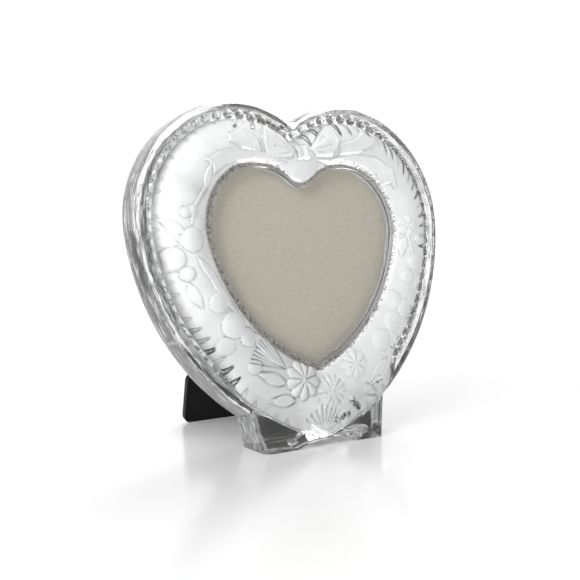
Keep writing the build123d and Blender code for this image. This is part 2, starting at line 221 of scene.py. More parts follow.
# %% The family of hearts
# cusp height, then radii of cusp, crown, shoulder and tip, then the angles between the arcs
OUTLINE_HEART = np.array([155.0, 6.4, 50.4, 57.0, 12.0, 123.0, 79.0, -5.0, -74.0])
WINDOW_HEART = np.array([122.3, 8.9, 25.4, 30.1, 3.1, 133.9, 50.0, -12.0, -69.2])
ARCS = 5


def direction(angle):
    """The unit vector at an angle in degrees: its cosine and its sine."""
    return np.stack([np.cos(np.radians(angle)), np.sin(np.radians(angle))], -1)


def heart_arcs(share):
    """Centres, signed radii and end angles of the right half's arcs, for an array of shares."""
    share = np.asarray(share, float)[..., None]
    sizes = np.moveaxis(OUTLINE_HEART + (WINDOW_HEART - OUTLINE_HEART) * share, -1, 0)
    height, cusp, crown, shoulder, tip, crown_at, shoulder_at, flank_at, tip_at = sizes
    centre_cusp = np.stack([0 * height, height + cusp], -1)
    centre_crown = centre_cusp - direction(crown_at) * (cusp + crown)[..., None]
    centre_shoulder = centre_crown + direction(shoulder_at) * (crown - shoulder)[..., None]
    flank_start = centre_shoulder + direction(flank_at) * shoulder[..., None]
    tip_x, flank_x = direction(tip_at)[..., 0], direction(flank_at)[..., 0]
    flank = (tip * tip_x - flank_start[..., 0]) / (tip_x - flank_x)
    centre_flank = flank_start - direction(flank_at) * flank[..., None]
    centre_tip = centre_flank + direction(tip_at) * (flank - tip)[..., None]
    centres = np.stack([centre_cusp, centre_crown, centre_shoulder, centre_flank, centre_tip], -2)
    radii = np.stack([-cusp, crown, shoulder, flank, tip], -1)
    right_angle = np.full_like(height, 90.0)
    ends = np.stack([right_angle, crown_at, shoulder_at, flank_at, tip_at, -right_angle], -1)
    return centres, radii, ends


def heart_grid(share, inset, columns):
    """Points of hearts: one row per share and inset, one column per arc, place along it and side.

    Share and inset are one column of numbers, or a grid where they change round the heart.
    A point is its arc's centre plus the outward direction there times the radius less the inset.
    """
    arc, along, side = columns
    number = np.arange(len(arc))
    centres, radii, ends = heart_arcs(np.broadcast_to(share, (len(share), len(arc))))
    start = ends[:, number, arc]
    angle = start + (ends[:, number, arc + 1] - start) * along
    radius = radii[:, number, arc] - inset
    places = centres[:, number, arc] + direction(angle) * radius[..., None]
    places[..., 0] *= side
    return places


# %% Share out the columns along the heart
HALF_COLUMNS = 452
MIDDLE_SHARE = 0.4
_, middle_radii, middle_ends = heart_arcs(np.array([MIDDLE_SHARE]))
arc_lengths = np.abs(middle_radii[0] * np.radians(np.diff(middle_ends[0])))
walk = np.linspace(0.0, arc_lengths.sum() * (1 - 1e-9), HALF_COLUMNS)
arc_starts = np.concatenate([[0.0], np.cumsum(arc_lengths)])
half_arc = np.minimum(np.searchsorted(arc_starts, walk, "right") - 1, ARCS - 1)
half_along = (walk - arc_starts[half_arc]) / arc_lengths[half_arc]
# The left half repeats the right one backwards, without its first and last column
column_arc = np.concatenate([half_arc, half_arc[-2:0:-1]])
column_along = np.concatenate([half_along, half_along[-2:0:-1]])
column_side = np.concatenate([np.ones(HALF_COLUMNS), -np.ones(HALF_COLUMNS - 2)])
COLUMNS = (column_arc, column_along, column_side)
print(len(column_arc), "columns, half way round is", round(float(arc_lengths.sum()), 1), "mm")

# %% [markdown]
# ## The section of the glass
# A section is walked from the window's wall over the rolled edge, the frosted dome, the seat of
# the beads, the rim, round the flank, across the rear and back up the recess. Each step
# is a share, an inset from that heart, and a depth behind the feet's front.

# %% Sizes of the section, in millimetres
GLASS_DEPTH = 24.5
LEDGE_DEPTH = 3.9
RIM_SETBACK = 3.3
SEAT_DEPTH = 8.6
EDGE_DEPTH = 0.2
EDGE_ROUND = 0.9
RIM_ROUND = 4.0
REAR_ROUND = 8.0
RIM_SHARE, BEAD_SHARE, CROWN_FOOT_SHARE, RECESS_SHARE = 0.115, 0.187, 0.255, 0.885
BAND_WIDTH = 33.0
BAND_ROWS = 57
DOME_SHARES = [0.255, 0.28, 0.31, 0.37, 0.45, 0.60, 0.68, 0.83, 0.955, 1.0]
DOME_DEPTHS = [8.6, 5.8, 3.4, 1.3, -0.6, -2.42, -2.42, -1.2, 0.2, 0.2]


def soft_step(value, low, high):
    """0 below low, 1 above high, with a smooth cubic between them."""
    t = np.clip((value - low) / (high - low), 0, 1)
    return t * t * (3 - 2 * t)


def smooth_curve(x, xs, ys):
    """A smooth curve through points: a cubic for each span, with mean slopes at its ends."""
    xs, ys = np.asarray(xs, float), np.asarray(ys, float)
    slopes = np.gradient(ys, xs)
    i = np.clip(np.searchsorted(xs, x, "right") - 1, 0, len(xs) - 2)
    width = xs[i + 1] - xs[i]
    t = (x - xs[i]) / width
    start = (2 * t**3 - 3 * t**2 + 1) * ys[i] + (t**3 - 2 * t**2 + t) * width * slopes[i]
    return start + (3 * t**2 - 2 * t**3) * ys[i + 1] + (t**3 - t**2) * width * slopes[i + 1]


def quarter(radius, first, last, count):
    """Inset and drop along a rounded edge between two angles, 0 at the wall and 90 on top."""
    angle = np.radians(np.linspace(first, last, count))
    return radius * (1 - np.cos(angle)), radius * (1 - np.sin(angle))


def span(first, last, count):
    """Evenly spaced values after the first one, up to the last."""
    return np.linspace(first, last, count + 1)[1:]


def section_rows():
    """The closed walk round the section as arrays of share, inset and depth."""
    rows = []

    def walk_on(share, inset, depth):
        steps = np.stack(np.broadcast_arrays(share, inset, depth), -1)
        rows.append(steps.reshape(-1, 3).astype(float))

    # The window's wall and its rolled edge
    wall_end = EDGE_DEPTH + EDGE_ROUND
    walk_on(1.0, 0.0, np.array([LEDGE_DEPTH, wall_end + 0.4, wall_end]))
    inset, drop = quarter(EDGE_ROUND, 0, 90, 6)
    walk_on(1.0, -inset[1:], EDGE_DEPTH + drop[1:])
    # The dome
    band = span(0.99, CROWN_FOOT_SHARE, BAND_ROWS)
    edge_inset = -EDGE_ROUND * np.clip((band - 0.93) / 0.07, 0, 1)
    walk_on(band, edge_inset, smooth_curve(band, DOME_SHARES, DOME_DEPTHS))
    # The seat of the beads, and the step up to the rim
    walk_on(span(CROWN_FOOT_SHARE, RIM_SHARE + 0.01, 10), 0.0, SEAT_DEPTH)
    walk_on(RIM_SHARE, 0.0, np.array([SEAT_DEPTH - 0.5, RIM_SETBACK + 0.9]))
    walk_on(RIM_SHARE, np.array([0.25, 0.8]), RIM_SETBACK + np.array([0.25, 0.0]))
    # The rounded rim and the flank
    walk_on(0.0, RIM_ROUND, RIM_SETBACK)
    inset, drop = quarter(RIM_ROUND, 90, 0, 8)
    walk_on(0.0, inset[1:], RIM_SETBACK + drop[1:])
    walk_on(0.0, 0.0, span(RIM_SETBACK + RIM_ROUND, GLASS_DEPTH - REAR_ROUND, 7))
    # The rounded rear edge, the flat rear and the wall of the recess
    inset, drop = quarter(REAR_ROUND, 0, 90, 9)
    walk_on(0.0, inset[1:], GLASS_DEPTH - drop[1:])
    walk_on(RECESS_SHARE, 0.0, np.array([GLASS_DEPTH, LEDGE_DEPTH]))
    return np.concatenate(rows).T


row_share, row_inset, row_depth = section_rows()
in_front = row_depth < SEAT_DEPTH + 0.01

# Near the tip the frosted slope reaches out over the seat of the beads
KNOT_SHARES = np.array([0.0, RIM_SHARE, CROWN_FOOT_SHARE, 0.6, 1.0])
TIP_KNOT_SHARES = np.array([0.0, 0.075, 0.09, 0.6, 1.0])
TIP_SEAT_DEPTH = 1.2
TIP_RIM_ROUND_SHARE = 0.65
SPREAD_LOW, SPREAD_HIGH = 20.0, 36.0
outline = heart_grid(np.zeros((1, 1)), 0.0, COLUMNS)[0]
spread = 1 - soft_step(outline[:, 1], SPREAD_LOW, SPREAD_HIGH)
knots = KNOT_SHARES + (TIP_KNOT_SHARES - KNOT_SHARES) * spread[:, None]
grid_share = np.stack([np.interp(row_share, KNOT_SHARES, moved) for moved in knots], 1)
rounding = ((row_share == 0) & in_front)[:, None]
grid_inset = row_inset[:, None] * (1 - (1 - TIP_RIM_ROUND_SHARE) * spread * rounding)
plan = heart_grid(grid_share, grid_inset, COLUMNS)
outer_slope = ((row_share >= RIM_SHARE) & (row_share <= 0.6) & in_front)[:, None]
slope_limit = np.where(outer_slope, SEAT_DEPTH + (TIP_SEAT_DEPTH - SEAT_DEPTH) * spread, GLASS_DEPTH)
grid_depth = np.minimum(row_depth[:, None], slope_limit)
print(len(row_share), "rows,", plan.shape[0] * plan.shape[1], "points on the glass")


# %% [markdown]
# ## Beads along their own heart
# A row of beads sits in the groove under the rim. They are pressed with the glass, so they are
# part of its surface: a bead's height above the seat is that of a ball at the same place.

# %% Find the middle of every bead
BEAD_RADIUS = 2.35
BEAD_PITCH = 6.3
# From the cusp to the first bead, and how far up the face the last one is at least
FIRST_BEAD = 3.2
LOWEST_BEAD = 34.0


def bead_places():
    """Centres of the right half's beads, at equal steps, and its arcs' starts and lengths."""
    centres, radii, ends = (value[0] for value in heart_arcs(np.array([BEAD_SHARE])))
    lengths = np.abs(radii * np.radians(np.diff(ends)))
    starts = np.concatenate([[0.0], np.cumsum(lengths)])
    walked = np.arange(FIRST_BEAD, starts[-1], BEAD_PITCH)
    arc = np.searchsorted(starts, walked, "right") - 1
    angle = ends[arc] + np.diff(ends)[arc] * (walked - starts[arc]) / lengths[arc]
    places = centres[arc] + direction(angle) * radii[arc][:, None]
    return places[places[:, 1] > LOWEST_BEAD], starts, lengths


beads, bead_starts, bead_lengths = bead_places()
beads = np.concatenate([beads, beads * [-1, 1]])
column_walk = bead_starts[column_arc] + bead_lengths[column_arc] * column_along
print(len(beads), "beads, the last one up at", round(float(beads[-1, 1]), 1), "mm")

# %% [markdown]
# ## Pressed relief as a height field
# The bow, the leaves and the flowers were cut into the mould, so each of them is a height above
# the dome at every point of the band. Simple shapes are worked out from distances: to the edge
# of an outline for a ribbon, to a middle for a petal, to a line for a stem. Where shapes meet,
# the higher one wins.

# %% Shapes of the relief
# The places at which every shape is worked out
PLAN = plan
GRID = PLAN.shape[:2]


def to_line(points, closed=False):
    """Distance to a chain of straight pieces, and the share of the way along it (0 to 1)."""
    points = np.asarray(points, float)
    ends = np.roll(points, -1, 0) if closed else points[1:]
    best, where = np.full(GRID, 1e9), np.zeros(GRID)
    for number, (start, end) in enumerate(zip(points, ends)):
        run = end - start
        t = np.clip(((PLAN - start) @ run) / (run @ run), 0, 1)
        away = np.linalg.norm(PLAN - start - t[..., None] * run, axis=-1)
        where = np.where(away < best, (number + t) / len(ends), where)
        best = np.minimum(best, away)
    return best, where


def inside(points):
    """True inside a closed outline: an odd number of its sides cross the line to the right."""
    points = np.asarray(points, float)
    odd = np.zeros(GRID, bool)
    x, y = PLAN[..., 0], PLAN[..., 1]
    for (x0, y0), (x1, y1) in zip(points, np.roll(points, -1, 0)):
        if y0 != y1:
            odd ^= ((y0 > y) != (y1 > y)) & (x < x0 + (y - y0) * (x1 - x0) / (y1 - y0))
    return odd


def ribbon(points, height, hem=1.6):
    """A flat ribbon: full height inside its outline, rounded off over its hem, with a raised edge."""
    away, _ = to_line(points, closed=True)
    within = np.where(inside(points), away, -away)
    edge = np.exp(-(((within - hem * 0.55) / (hem * 0.35)) ** 2))
    return height * soft_step(within, -0.25, hem * 0.45) + 0.25 * edge


def petal(middle, radius, height):
    """A round petal: a low dome that falls with the square of the distance to its middle."""
    away = np.linalg.norm(PLAN - middle, axis=-1) / radius
    return height * np.sqrt(np.clip(1 - away**2, 0, 1))


def leaf(root, point, half_width, height):
    """A leaf: as wide as the sine of the way along it, and hollow along its middle."""
    away, where = to_line([root, point])
    width = half_width * np.sin(np.pi * np.clip(where, 0.02, 0.98) ** 0.8) + 0.01
    across = np.clip(away / width, 0, 1)
    return height * soft_step(1 - across, 0, 0.55) * (0.72 + 0.28 * across)


def blossom(middle, radius, petals, height, turn=0.0):
    """An open flower: petals by the cosine of the angle, cupped round a small raised eye."""
    offset = PLAN - middle
    away = np.linalg.norm(offset, axis=-1)
    angle = np.arctan2(offset[..., 1], offset[..., 0]) + turn
    lobe = np.abs(np.cos(petals * angle / 2))
    edge = radius * (0.72 + 0.28 * lobe**0.5)
    cup = np.sqrt(np.clip(1 - (away / edge) ** 2, 0, 1)) * (0.45 + 0.55 * lobe**0.6)
    return height * np.maximum(cup, 1.1 * np.clip(1 - (away / (0.2 * radius)) ** 2, 0, 1))


def stem(points, half_width, height):
    """A stem: a round ridge along a line."""
    away, _ = to_line(points)
    return height * np.sqrt(np.clip(1 - (away / half_width) ** 2, 0, 1))


def grooves(start, ends, depth, half_width):
    """Cut lines that run from one place to several, each a narrow hollow."""
    cut = np.zeros(GRID)
    for end in ends:
        away, _ = to_line([start, end])
        cut = np.maximum(cut, depth * np.exp(-((away / half_width) ** 2)))
    return cut


def rays(middle, length, first, last, count, depth):
    """Cut lines of one length that fan out from a middle between two angles."""
    ends = np.array(middle) + length * direction(np.linspace(first, last, count))
    return grooves(middle, ends, depth, 0.55)


# %% [markdown]
# The bow at the top is the richest part: a knot, two loops folded back on themselves, and
# two long tails that follow the window and end in a notch. Folds are cut lines that run
# out of the knot.

# %% Press the bow
LOOP_LEFT = [(-4.2, 139.4), (-8, 144.8), (-13.5, 149.2), (-18.6, 152.9), (-21.2, 149.2), (-22.3, 143),
             (-21, 138), (-15, 134.9), (-7, 135.7)]
LOOP_RIGHT = [(4.6, 140.6), (8.4, 144.5), (13.6, 150.1), (18, 153.9), (20.8, 150), (22.5, 145.2),
              (20.9, 141), (17.8, 137.4), (7.2, 137)]
FOLD_LEFT = [(-22.4, 138.2), (-32.8, 140.3), (-40.3, 143.2), (-40, 146.4), (-33.2, 149.8), (-25, 145.2)]
FOLD_RIGHT = [(22.4, 143.4), (31.4, 145.6), (39.6, 150.8), (46.2, 145.3), (42.4, 142.3), (33.6, 139.2),
              (22.8, 138.1)]
TAIL_LEFT = [(-7.5, 134.6), (-18, 133.4), (-26, 134.9), (-36.3, 134), (-43.3, 131.9), (-49.6, 127.6),
             (-50.2, 132.2), (-54, 134.6), (-46.5, 138.2), (-37, 140.2), (-25.3, 139.2), (-14, 138)]
TAIL_RIGHT = [(7.1, 135.4), (17.5, 136.7), (29.5, 138.8), (44, 137.1), (54.2, 131.3), (56, 120.4),
              (52, 124.6), (48.3, 123.6), (44.5, 128.6), (36, 132.1), (21.5, 133.3)]
bow = np.maximum.reduce([
    ribbon(TAIL_LEFT, 1),
    ribbon(TAIL_RIGHT, 1),
    ribbon(FOLD_LEFT, 0.8),
    ribbon(FOLD_RIGHT, 0.8),
    ribbon(LOOP_LEFT, 1.4, 2.2),
    ribbon(LOOP_RIGHT, 1.4, 2.2),
    ribbon([(-4, 135.6), (-3.4, 139), (-4, 143), (4, 143), (3.4, 139), (4, 135.6)], 1.8, 2),
])
bow -= grooves((-4, 139), [(-14, 146), (-16, 141.5), (-12, 137.5)], 0.5, 0.7)
bow -= grooves((4, 139.4), [(14, 147), (16.5, 142.5), (12.5, 138.6)], 0.5, 0.7)
bow -= grooves((0, 133.5), [(0.3, 143.6)], 0.5, 0.6)
print("the bow stands", round(float(bow.max()), 2), "mm above the dome")

# %% [markdown]
# Down the left side hangs a spray of flowers, buds and leaves that ends in two open blossoms
# under the window. A few small sprigs echo it on the right.

# %% Press the flowers
# Petals: right, up, radius and height
PETALS = [
    (-65.8, 111, 2.6, 1.1), (-62, 112, 2.4, 1.1), (-59.4, 105.6, 3.2, 0.8),
    (-63.4, 98.6, 5.6, 1.7), (-72.3, 90.5, 5.3, 1.6), (-66.6, 83.7, 3.2, 1.3),
    (-76, 82.6, 3, 0.7), (-53.4, 70.2, 4.6, 1.1), (-46.4, 59.8, 6.2, 1.5),
    (-39.6, 54, 4.4, 1.2), (-50.5, 50.5, 4.2, 0.8), (-37, 40, 3.4, 0.7),
    # on the right
    (66.4, 95.5, 2.4, 0.8), (62.5, 84, 4.2, 0.7), (57, 77, 3.8, 0.7),
    (64.5, 75, 3.4, 0.6), (46.3, 66, 4.8, 0.7), (53, 61, 4.6, 0.8),
    (44.6, 55.5, 5, 0.8), (36.4, 46.8, 5.4, 0.8), (45, 46, 3.6, 0.6),
]
# Leaves: right and up of the root and of the point, half width and height
LEAVES = [
    (-54.2, 121.6, -50.4, 133.2, 2.4, 1), (-67, 101.5, -76.5, 108.5, 2.8, 0.8),
    (-70, 97, -79, 99.5, 2.4, 0.7), (-61.5, 90.5, -49.4, 74.6, 2.5, 1.1),
    (-58, 85, -41.5, 61.5, 2.3, 1), (-66.5, 79.5, -60.5, 68, 2.6, 0.8),
    (-36.5, 55.5, -20.8, 38.2, 4.6, 0.9), (-22, 31, -35, 37, 3, 0.8),
    (-17, 22.6, -29, 24, 3, 0.8),
    # on the right
    (58, 97, 54.9, 87, 2.6, 0.8), (30, 30, 41, 38, 3.2, 0.8),
    (24, 26, 33, 20.5, 2.8, 0.7),
]
flowers = np.maximum.reduce([
    *(petal(row[:2], *row[2:]) for row in PETALS),
    *(leaf(row[:2], row[2:4], *row[4:]) for row in LEAVES),
    stem([(-54, 122.4), (-57.4, 118), (-60.7, 113.7), (-63, 106)], 0.9, 0.7),
    blossom((-12, 32), 9.4, 9, 1.6, 0.2),
    blossom((3.8, 24.5), 7.6, 11, 0.9),
    blossom((18.7, 36.4), 7.2, 8, 1.1),
    blossom((60.3, 102.5), 5.4, 5, 0.9),
    stem([(60, 98), (62.4, 84), (61, 70), (53, 61)], 0.7, 0.5),
])
fan = rays((-20.6, 37.5), 19, 112, 166, 10, 0.5)
star = rays((3.8, 24.5), 8.4, 0, 337.5, 16, 0.35)
tip_rays = rays((1.1, 4.6), 13.5, 38, 142, 9, 0.6)
print("the flowers stand", round(float(flowers.max()), 2), "mm above the dome")

# %% [markdown]
# From each gap between the beads, a short flute runs inwards over the outer slope of the dome.
# It is a hollow, as deep as a bell curve across the gap, that dies away towards the crest. Its
# two sides close to a point, and are painted as dark wedges: a painted dark reflection.

# %% Add up the heights
FLUTE_DEPTH, FLUTE_HALF_WIDTH = 0.8, 1.2
WEDGE_HALF_WIDTH, WEDGE_LINE = 1.2, 0.34
# The shares at which the flutes end
RIGHT_END, LOW_LEFT_END, LEFT_END = 0.56, 0.38, 0.33
right_up, height_up = PLAN[..., 0], PLAN[..., 1]
gaps_along = (column_walk - FIRST_BEAD) / BEAD_PITCH - 0.5
gap_number = np.round(gaps_along)
from_gap = np.abs(gaps_along - gap_number)[None, :] * BEAD_PITCH
at_right = soft_step(right_up, -30, -20) * soft_step(height_up, 84, 92)
low_left = soft_step(-right_up, 36, 40) * (1 - soft_step(height_up, 58, 63))
low_left *= soft_step(height_up, 25, 29)
flute_end = LEFT_END + (RIGHT_END - LEFT_END) * at_right + (LOW_LEFT_END - LEFT_END) * low_left
down_flute = np.clip((row_share[:, None] - CROWN_FOOT_SHARE) / (flute_end - CROWN_FOOT_SHARE), 0, 1)
# Every gap has a strength of its own
own_light = 0.6 + 0.4 * np.sin(gap_number * 2.4)
flute_strength = (0.25 + 0.75 * np.maximum(at_right, low_left)) * own_light
open_flute = (row_share[:, None] > CROWN_FOOT_SHARE) * (down_flute < 1)
# The dark wedges along the flute's sides are painted: a painted dark reflection
flute_side = np.exp(-(((from_gap - WEDGE_HALF_WIDTH * (1 - down_flute)) / WEDGE_LINE) ** 2))
painted_dark_flute_wedges = flute_side * (1 - soft_step(down_flute, 0.7, 1.0)) * flute_strength * open_flute
flutes = FLUTE_DEPTH * flute_strength * np.clip(1 - down_flute, 0, 1)
flutes *= np.exp(-((from_gap / FLUTE_HALF_WIDTH) ** 2)) * open_flute
on_band = soft_step(row_share, CROWN_FOOT_SHARE, CROWN_FOOT_SHARE + 0.05)
on_band *= 1 - soft_step(row_share, 0.86, 0.95)
on_band = (on_band * in_front)[:, None]
raised = np.maximum(bow, flowers)
bare = (1 - soft_step(raised, 0.05, 0.3)) * in_front[:, None]
flutes, painted_dark_flute_wedges = flutes * bare, painted_dark_flute_wedges * bare
relief = on_band * (raised - fan - star - tip_rays) - flutes

seat_rows = ((row_share > RIM_SHARE) & (row_share < CROWN_FOOT_SHARE + 0.03) & in_front)[:, None]
nearest = np.full(GRID, 1e9)
for middle in beads:
    nearest = np.minimum(nearest, np.linalg.norm(PLAN - middle, axis=-1))
bead_height = BEAD_RADIUS * np.sqrt(np.clip(1 - (nearest / BEAD_RADIUS) ** 2, 0, 1)) * seat_rows
depth = np.minimum(grid_depth - relief, np.where(bead_height > 0, SEAT_DEPTH - bead_height, 99))
print("the front reaches", round(float(depth.min()), 2), "mm before the feet")

# %% [markdown]
# ## From arrays to a closed mesh
# The grid closes on itself both ways, round the heart and round the section, so it is a
# bent ring with no seam and no open edge. The feet are a second closed solid, and Blender's
# Boolean joins the two into one piece of glass, as it is when it leaves the mould.

# %% Make the heart
def ring_mesh(name, places, cap=False):
    """A mesh from rows of places. Columns close on themselves; rows do too, or end in caps."""
    rows, columns = places.shape[:2]
    index = np.arange(rows * columns).reshape(rows, columns)
    below = index[:-1] if cap else index
    above = index[1:] if cap else np.roll(index, -1, 0)
    quads = np.stack([below, np.roll(below, -1, 1), np.roll(above, -1, 1), above], -1).reshape(-1, 4)
    faces = quads.tolist()
    if cap:
        faces += [index[0][::-1].tolist(), index[-1].tolist()]
    mesh = bpy.data.meshes.new(name)
    mesh.from_pydata(places.reshape(-1, 3), [], faces)
    mesh.update()
    return mesh


def place_object(name, mesh):
    """Put a mesh in the scene as an object."""
    piece = bpy.data.objects.new(name, mesh)
    bpy.context.collection.objects.link(piece)
    return piece


def face_outwards(mesh):
    """Turn the faces so that the volume inside them is positive."""
    corners = np.empty(len(mesh.vertices) * 3)
    mesh.vertices.foreach_get("co", corners)
    corners = corners.reshape(-1, 3)
    mesh.calc_loop_triangles()
    triangles = np.empty(len(mesh.loop_triangles) * 3, np.int32)
    mesh.loop_triangles.foreach_get("vertices", triangles)
    a, b, c = (corners[triangles.reshape(-1, 3)[:, k]] for k in range(3))
    volume = np.einsum("ij,ij->i", a, np.cross(b, c)).sum() / 6
    if volume < 0:
        mesh.flip_normals()
    return volume


heart_mesh = ring_mesh("heart_glass", on_face(plan, depth))
print("heart:", len(heart_mesh.polygons), "faces,", round(face_outwards(heart_mesh) * 1e6, 1), "cm3")

# %% [markdown]
# The frost is a finish, so it is kept as a number at each point: 1 on the acid-etched band,
# 0 on the polished rim, flank and window edge. The shader reads it later.

# %% Find the creases of the relief
def steepness(field, spacing):
    """How much a height changes from one grid point to the next, both ways taken together."""
    along = (np.roll(field, -1, 1) - np.roll(field, 1, 1)) / (2 * spacing)
    across = np.gradient(field, axis=0) / spacing
    return np.hypot(along, across)


def hollow(field, reach):
    """How far a point lies below the mean of the points around it, a few steps away."""
    steps = ((reach, 0), (-reach, 0), (0, reach), (0, -reach))
    around = sum(np.roll(field, step, (0, 1)) for step in steps)
    return np.clip(around / 4 - field, 0, None)


def patch(start, end, half_width):
    """1 inside a long patch round a line, 0 outside it."""
    away, _ = to_line([start, end])
    return 1 - soft_step(away, half_width * 0.6, half_width)


# Creases of the relief are painted grey on the frosted band: painted shade in its hollows and on its
# steep sides
painted_crease_shade = soft_step(hollow(relief, 2), 0.05, 0.32) + 0.5 * soft_step(steepness(relief, 0.5), 0.7, 2.0)
painted_crease_shade = np.clip(painted_crease_shade, 0, 1) * in_front[:, None]
print("creases cover", round(float((painted_crease_shade > 0.3).mean() * 100), 1), "percent of the points")

# %% Mark the frosted band
def mark(mesh, name, values):
    """Keep one number for each point of a mesh under a name."""
    attribute = mesh.attributes.new(name, "FLOAT", "POINT")
    attribute.data.foreach_set("value", values.ravel().astype(np.float32))


# Where the mould was polished, the glass is clear, with small specks that are bumped and painted dark:
# painted dark reflections
# Each patch: right and up of its start and of its end, and half its width
PATCHES = [
    (64.6, 70.5, 65.9, 73.6, 1.6), (55.9, 56.1, 59.9, 61.9, 2.2), (44.3, 42, 50.9, 47.9, 2.3),
    (36, 34.2, 38, 36.4, 1.7), (27.6, 24.9, 35.5, 28, 2), (15.4, 20.4, 20.9, 15.9, 1.9),
    (7.1, 10.9, 14.5, 12.9, 1.6), (-35.6, 148.5, -33, 153.5, 1.8), (-25.6, 150.5, -22, 155.5, 2),
]
polished = np.maximum.reduce([patch(row[:2], row[2:4], row[4]) for row in PATCHES])
polished = polished * (1 - soft_step(raised, 0.3, 0.6)) * on_band
window_roll = soft_step(row_share, 0.885, 0.905) * (1 - soft_step(row_share, 0.975, 0.985))
speck_bumps_and_painted_dark = np.maximum(polished, (0.75 * window_roll * in_front)[:, None])
# The beads are specked and painted dark too, more on the right side: painted dark reflections
speck_bumps_and_painted_dark = np.maximum(speck_bumps_and_painted_dark, (bead_height > 0) * (0.6 + 0.5 * soft_step(right_up, 5, 20)))
# A painted dark line, a painted reflection, follows the window's rolled edge
painted_dark_window_edge = (row_share == 1.0) & (row_depth > EDGE_DEPTH + 0.5)
painted_dark_window_edge &= row_depth < EDGE_DEPTH + EDGE_ROUND + 0.1

# One long painted dark streak, a painted reflection, runs down the left flank
STREAK_TOP, STREAK_FOOT, STREAK_DEPTH = 106.0, 75.0, 9.6
STREAK_HALF_WIDTH, STREAK_STRENGTH = 1.5, 1.8
streak_reach = soft_step(outline[:, 1], STREAK_FOOT, STREAK_FOOT + 12)
streak_reach *= 1 - soft_step(outline[:, 1], STREAK_TOP - 6, STREAK_TOP)
streak_wander = STREAK_DEPTH + 0.8 * np.sin(outline[:, 1] * 0.55)
flank_rows = (row_share == 0) & (row_depth > RIM_SETBACK + 1.2) & (row_depth < GLASS_DEPTH - 1.0)
from_streak = (row_depth[:, None] - streak_wander) / STREAK_HALF_WIDTH
painted_dark_streak = STREAK_STRENGTH * np.exp(-(from_streak**2)) * streak_reach * (column_side < 0)
# cut holds the painted dark lines: flute wedges, window edge and flank streak, all painted reflections
cut = np.clip(painted_dark_flute_wedges + painted_dark_window_edge[:, None] * 0.9 + painted_dark_streak * flank_rows[:, None], 0, 1)

frost_rows = soft_step(row_share, CROWN_FOOT_SHARE - 0.005, CROWN_FOOT_SHARE + 0.02)
frost_rows *= 1 - soft_step(row_share, 0.87, 0.90)
everywhere = np.ones(GRID)
# The seat of the beads is a little frosted down the left side, and painted a little grey there as
# painted shade
bead_seat = (row_share >= RIM_SHARE) & (row_share < CROWN_FOOT_SHARE) & in_front
hazy_and_painted_grey = bead_seat[:, None] * soft_step(-right_up, 20, 50)
frost = np.maximum((frost_rows * in_front)[:, None] * (1 - 0.5 * polished), 0.6 * hazy_and_painted_grey)
mark(heart_mesh, "frost", frost)
mark(heart_mesh, "painted_crease_shade", np.maximum(painted_crease_shade, 0.2 * hazy_and_painted_grey))
mark(heart_mesh, "cut", cut)
mark(heart_mesh, "speck_bumps_and_painted_dark", speck_bumps_and_painted_dark)
# The flank mask places the flow bumps, the painted dark lines and the painted highlights: the flank,
# the rim on the left and the hazy seat, less near the top and bottom
rim_rows = ((row_share <= RIM_SHARE) & in_front)[:, None] * soft_step(-right_up, -40, 20)
flow_bumps_and_painted_lines = np.maximum(flank_rows[:, None], np.maximum(rim_rows, 0.45 * hazy_and_painted_grey))
fading = (1 - 0.6 * soft_step(height_up, 135, 155)) * (0.5 + 0.5 * soft_step(height_up, 45, 75))
mark(heart_mesh, "flank", flow_bumps_and_painted_lines * fading)
# How far a point is round the heart from the cusp, and round the section, in millimetres
steps_inwards = np.diff(row_share * BAND_WIDTH + row_inset)
section_walk = np.concatenate([[0.0], np.cumsum(np.hypot(steps_inwards, np.diff(row_depth)))])
mark(heart_mesh, "along", column_walk[None, :] * everywhere)
mark(heart_mesh, "across", section_walk[:, None] * everywhere)
print("frost:", round(float(frost.mean()), 2), "is the mean over all points")

# %% [markdown]
# The feet have nearly upright sides and grow into the flanks. Their outline is walked once
# round, and its sides draw in where the front and rear edges are rounded. The sole is the
# floor itself: a leaning point at some depth is on the floor when it is that depth times the
# lean's tangent up the face. A low arch keeps the middle clear between the feet.

# %% Make the feet
FOOT_HALF_WIDTH = 34.5
SIDE_TOP = np.array([3.4, 20.0])
SIDE_BEND = np.array([4.6, 27.2])
FLARE_END = np.array([12.7, 29.2])
FOOT_ROUND = 4.4
ARCH_HALF_SPAN, ARCH_RISE = 17.0, 3.0
ARCH_RADIUS = (ARCH_HALF_SPAN**2 + ARCH_RISE**2) / (2 * ARCH_RISE)
# The feet end a hair before the rear of the heart, so that the two share no plane
REAR_GAP = 0.05


def foot_outline(inset, depth, lift):
    """Right half from the middle of the sole, round the flare, to the middle of the top."""
    across = np.linspace(0, 1, 80)
    sole_x = (FOOT_HALF_WIDTH - inset) * across
    arch = np.sqrt(np.clip(ARCH_RADIUS**2 - sole_x**2, 0, None)) - ARCH_RADIUS + ARCH_RISE
    floor_line = np.maximum(depth * np.tan(LEAN), lift)
    sole = np.stack([sole_x, np.maximum(floor_line, arch)], -1)
    # A straight side, then a curve through the bend to the end of the flare
    side = SIDE_TOP * np.linspace(0, 1, 9)[:-1, None]
    t = np.linspace(0, 1, 14)[:, None]
    curve = (1 - t) ** 2 * SIDE_TOP + 2 * t * (1 - t) * SIDE_BEND + t**2 * FLARE_END
    flare = np.concatenate([side, curve]) + [FOOT_HALF_WIDTH - inset, 0.0]
    flare[:, 1] = np.maximum(flare[:, 1], floor_line)
    return np.concatenate([sole, flare, flare[-1:] * [[0.0, 1.0]]])


rear_inset, rear_drop = quarter(REAR_ROUND, 90, 0, 7)
front_inset, front_drop = quarter(FOOT_ROUND, 0, 90, 7)
foot_insets = np.concatenate([rear_inset, front_inset])
foot_depths = np.concatenate([GLASS_DEPTH - REAR_GAP - rear_drop, front_drop])
